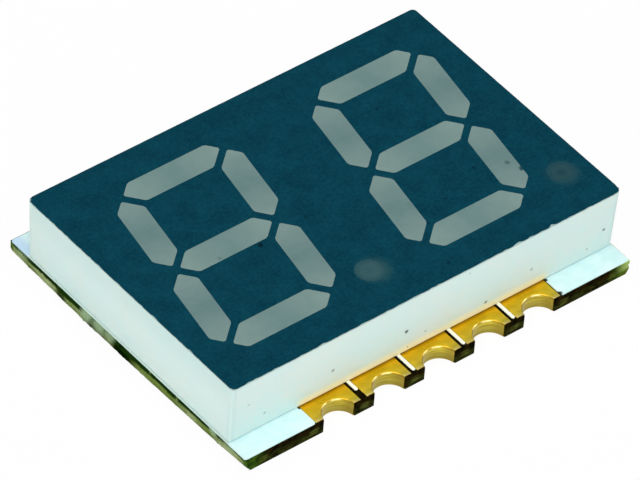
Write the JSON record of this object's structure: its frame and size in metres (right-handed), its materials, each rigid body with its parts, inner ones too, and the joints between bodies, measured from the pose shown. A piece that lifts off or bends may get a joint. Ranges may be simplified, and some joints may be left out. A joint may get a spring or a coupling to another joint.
{
  "type": "seven segment display",
  "caption": "Flat seven segment LED display: slanted digits with decimal points in a dark-faced white housing, on a board with gold half-hole solder terminals.",
  "frame": {"origin": "under the middle of the display, on the plane of the solder lands", "axes": "+X along the row of digits, to the right as they are read; +Y up the digits; +Z out of the face"},
  "size_m": [0.0196, 0.015, 0.0037],
  "materials": {
    "white_moulding": "white filled plastic, fine satin",
    "face_ink": "dark teal ink, satin",
    "cloudy_epoxy": "cloudy diffusing epoxy, satin",
    "laminate": "glass-epoxy laminate, cut edges",
    "white_mask": "white solder mask, semi-gloss",
    "gold_plate": "gold plate over copper, satin",
    "led_chip": "bare chip",
    "gold_wire": "drawn wire",
    "copper_land": "gold plate over copper"
  },
  "bodies": {
    "root": {"circuit_board": "laminate", "top_solder_mask": "white_mask", "bottom_solder_mask": "white_mask", "reflector_housing": "white_moulding", "face_ink": "face_ink", "terminal_1": "gold_plate", "terminal_2": "gold_plate", "terminal_3": "gold_plate", "terminal_4": "gold_plate", "terminal_5": "gold_plate", "terminal_6": "gold_plate", "terminal_7": "gold_plate", "terminal_8": "gold_plate", "terminal_9": "gold_plate", "terminal_10": "gold_plate", "left_digit_segment_a": "cloudy_epoxy", "left_digit_segment_b": "cloudy_epoxy", "left_digit_segment_c": "cloudy_epoxy", "left_digit_segment_d": "cloudy_epoxy", "left_digit_segment_e": "cloudy_epoxy", "left_digit_segment_f": "cloudy_epoxy", "left_digit_segment_g": "cloudy_epoxy", "left_digit_point": "cloudy_epoxy", "right_digit_segment_a": "cloudy_epoxy", "right_digit_segment_b": "cloudy_epoxy", "right_digit_segment_c": "cloudy_epoxy", "right_digit_segment_d": "cloudy_epoxy", "right_digit_segment_e": "cloudy_epoxy", "right_digit_segment_f": "cloudy_epoxy", "right_digit_segment_g": "cloudy_epoxy", "right_digit_point": "cloudy_epoxy", "left_digit_led_chips": "led_chip", "left_digit_bond_wires": "gold_wire", "left_digit_common_land": "copper_land", "left_digit_bond_pads": "copper_land", "right_digit_led_chips": "led_chip", "right_digit_bond_wires": "gold_wire", "right_digit_common_land": "copper_land", "right_digit_bond_pads": "copper_land"}
  },
  "joints": []
}
